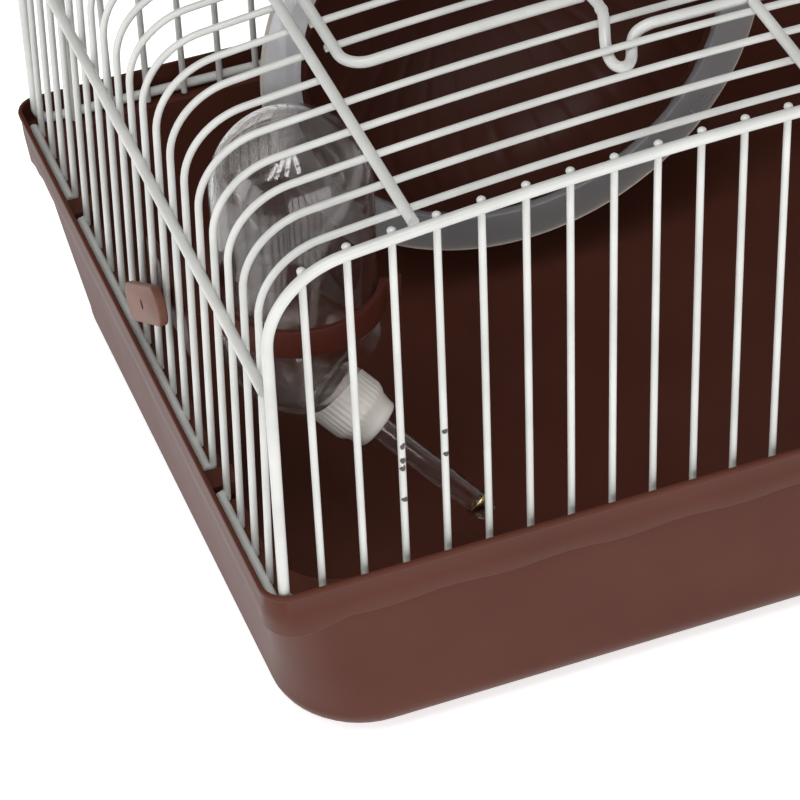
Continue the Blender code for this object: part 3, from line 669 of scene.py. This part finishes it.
def bottle():
    """The hollow bottle, its cap and gasket, and the spout with a ball and a brass ring."""
    bm = bmesh.new()
    revolve(bm, capsule_profile(BOTTLE_R), (*BOTTLE, 0.0), (0, 0, 1), 96)
    made = piece("bottle_shell", bm, clear, "bottle", ["bottle_body"])
    bm = bmesh.new()
    revolve(bm, capsule_profile(BOTTLE_R - BOTTLE_WALL), (*BOTTLE, 0.0), (0, 0, 1), 96)
    cut(made, bm)
    bm = bmesh.new()
    revolve(bm, [(0.02, -0.4), (30.0, -0.4), (30.0, 30.0), (0.02, 30.0)], NECK, NECK_DIR, 48)
    cut(made, bm)
    bm = bmesh.new()
    thread = [(5.5, -1.4), (6.6, -1.4), (6.6, 7.3), (5.5, 7.3)]
    revolve(bm, thread, NECK, NECK_DIR, 64)
    piece("bottle_neck", bm, clear, "bottle")
    cup = [(6.95, 0.0), (8.1, 0.0), (8.25, 0.3), (8.25, 8.8), (7.9, 9.8), (7.0, 11.2), (6.5, 13.4)]
    cup += [(6.4, 14.7), (6.1, 15.0), (3.2, 15.0), (3.2, 9.4), (6.95, 9.4)]

    def ridges(turn, i):
        return 1.0 - (0.018 * (0.5 + 0.5 * math.cos(36.0 * turn)) if 1 <= i <= 4 else 0.0)

    bm = bmesh.new()
    revolve(bm, cup, NECK, NECK_DIR, 216, ridges)
    piece("bottle_cap_shell", bm, milky, "cap", ["bottle_cap"], smooth=50)
    bm = bmesh.new()
    revolve(bm, [(3.3, 7.7), (6.5, 7.7), (6.5, 9.1), (3.3, 9.1)], NECK, NECK_DIR, 64)
    piece("gasket_ring", bm, seal_mat, "cap", ["cap_gasket"])
    pipe = [(2.1, 7.7), (2.9, 7.7), (2.9, 48.8), (2.75, 49.6), (2.3, 50.2)]
    pipe += [(1.3, 50.2), (1.2, 49.8), (1.25, 49.5), (2.1, 48.4)]
    bm = bmesh.new()
    revolve(bm, pipe, NECK, NECK_DIR, 64)
    piece("spout_pipe", bm, clear, "cap", ["spout_tube"])
    bm = bmesh.new()
    turns = [math.pi * i / 16 for i in range(17)]
    ball = [(max(0.01, 1.75 * math.sin(t)), 47.3 - 1.75 * math.cos(t)) for t in turns]
    revolve(bm, ball, NECK, NECK_DIR, 40)
    piece("ball", bm, steel, "ball", ["spout_ball"])
    bm = bmesh.new()
    collar = [(3.0, 45.6), (3.4, 45.6), (3.5, 45.8), (3.5, 46.8), (3.4, 47.0), (3.0, 47.0)]
    revolve(bm, collar, NECK, NECK_DIR, 64)
    piece("brass_ring", bm, brass, "cap", ["spout_ring"])


def clip():
    """The clip's open band and block, and the turn knob outside the wires."""
    bm = bmesh.new()
    rings = []
    for i in range(89):
        turn = math.radians(BAND_START + BAND_SWEEP * i / 88)
        c, s = math.cos(turn), math.sin(turn)
        section = [(BAND_IN, BAND_LOW), (BAND_OUT, BAND_LOW)]
        section += [(BAND_OUT, BAND_HIGH), (BAND_IN, BAND_HIGH)]
        rings.append([(BOTTLE[0] + r * c, BOTTLE[1] + r * s, z) for r, z in section])
    skin(bm, rings)
    piece("clip_band", bm, clip_mat, "top", ["bottle_clip"], bevel=0.3)
    bm = bmesh.new()
    block(bm, (2.3, 66.0, 17.0), (4.3, 98.0, 31.0))
    block(bm, (4.0, 67.5, 23.4), (10.9, 74.5, 29.6))
    for turn, way in ((BAND_START + BAND_SWEEP, 1.0), (BAND_START, -1.0)):
        a = math.radians(turn)
        out = Vector((math.cos(a), math.sin(a), 0.0))
        side = Vector((-math.sin(a), math.cos(a), 0.0)) * way
        start = Vector((*BOTTLE, 0.0)) + out * 19.7 - side * 0.6
        base = [start, start + out * 1.1]
        base += [start + out * 4.6 + side * 2.4, start + out * 3.6 + side * 3.2]
        skin(bm, [[(p.x, p.y, z) for p in base] for z in (23.0, 30.0)])
    stem = [(1.35, 1.4), (2.4, 1.4), (2.4, 5.5), (1.35, 5.5)]
    revolve(bm, stem, KNOB, (1, 0, 0), 40)
    piece("clip_block", bm, clip_mat, "top", bevel=0.35)
    tilt = math.radians(KNOB_TILT)
    outline = arc((KNOB_ARM, 0.0), KNOB_END, -90, 90, 16)
    outline += arc((-KNOB_ARM, 0.0), KNOB_END, 90, 270, 16)
    c, s = math.cos(tilt), math.sin(tilt)
    x, y, z = KNOB
    face = [(y - a * c - b * s, z + a * s - b * c) for a, b in outline]
    bm = bmesh.new()
    skin(bm, [[(x + depth, p, q) for p, q in face] for depth in (-KNOB_HALF, KNOB_HALF)])
    made = piece("knob_plate", bm, knob_mat, "knob", ["turn_knob"], bevel=0.45)
    bm = bmesh.new()
    revolve(bm, [(0.02, -3.0), (1.3, -3.0), (1.3, 3.0), (0.02, 3.0)], KNOB, (1, 0, 0), 40)
    cut(made, bm)


def keep_cad(look, *nodes):
    """Gives CAD nodes that stay visible a look, and leaves their shape alone."""
    for name in nodes:
        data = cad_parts[name].data
        data.materials.clear()
        data.materials.append(look)


# ---------------------------------------------------------------- stage


def area_light(name, location, aim, size, power):
    data = bpy.data.lights.new(name, "AREA")
    data.shape = "RECTANGLE"
    data.size, data.size_y = size
    data.energy = power
    made = bpy.data.objects.new(name, data)
    made.location = location
    made.rotation_euler = (Vector(aim) - Vector(location)).to_track_quat("-Z", "Y").to_euler()
    bpy.context.scene.collection.objects.link(made)


def stage():
    """A pale ground that glows a little, a dim even sky, and large soft lights."""
    bm = bmesh.new()
    half = 4.0
    corners = [(-half, -half), (half, -half), (half, half), (-half, half)]
    bm.faces.new([bm.verts.new((x, y, -0.0005)) for x, y in corners])
    mesh = bpy.data.meshes.new("floor")
    bm.to_mesh(mesh)
    bm.free()
    floor = bpy.data.objects.new("floor", mesh)
    white = (1.0, 1.0, 1.0, 1.0)
    pale = (0.86, 0.86, 0.86)
    look = material("floor", pale, 0.7, Emission_Color=white, Emission_Strength=0.62)
    soft = noise(look, 3.0)
    stops = [(0.3, (0.85, 0.85, 0.85)), (0.7, (0.87, 0.87, 0.87))]
    paint(look, ramp(look, soft.outputs["Fac"], stops))
    mesh.materials.append(look)
    bpy.context.scene.collection.objects.link(floor)
    bpy.context.scene.view_settings.view_transform = "Standard"
    world = bpy.data.worlds.new("studio")
    bpy.context.scene.world = world
    world.use_nodes = True
    sky = world.node_tree.nodes["Background"]
    sky.inputs["Color"].default_value = white
    sky.inputs["Strength"].default_value = 0.28
    middle = (0.0, 0.0, 0.06)
    for i in range(4):
        area_light(f"pane_{i}", (-0.75 + 0.24 * i, -0.45, 1.15), middle, (0.12, 0.6), 2.2)
    area_light("front", (0.15, -1.3, 0.35), middle, (1.6, 0.6), 9.0)
    area_light("left", (-1.3, -0.1, 0.4), middle, (1.2, 0.6), 6.0)


def camera():
    """The viewing angle: azimuth, elevation and roll, then a long lens."""
    azimuth, elevation, roll = (math.radians(a) for a in CAMERA_ANGLES)
    back = Vector((
        math.sin(azimuth) * math.cos(elevation),
        -math.cos(azimuth) * math.cos(elevation),
        math.sin(elevation),
    ))
    right = Vector((math.cos(azimuth), math.sin(azimuth), 0.0))
    up = back.cross(right)
    tilted = math.cos(roll) * right + math.sin(roll) * up
    upright = -math.sin(roll) * right + math.cos(roll) * up
    data = bpy.data.cameras.new("camera")
    data.lens = LENS
    data.sensor_width = 36.0
    data.clip_start = 0.01
    made = bpy.data.objects.new("camera", data)
    made.matrix_world = Matrix.Translation(place(CAMERA_AT)) @ Matrix(
        (tilted, upright, back)
    ).transposed().to_4x4()
    bpy.context.scene.collection.objects.link(made)
    bpy.context.scene.camera = made


panel("front_panel_wires", FRONT_Y, 1.0, chipped, "front_grid")
panel("back_panel_wires", BACK_Y, -1.0, enamel, "back_grid")
wrap()
roof_door()
tub()
wheel()
bottle()
clip()
keep_cad(steel, "door_ring_left", "door_ring_right", "wheel_bolt", "knob_pin")
keep_cad(bowl_mat, "wheel_bracket", "wheel_back_nut")
stage()
camera()
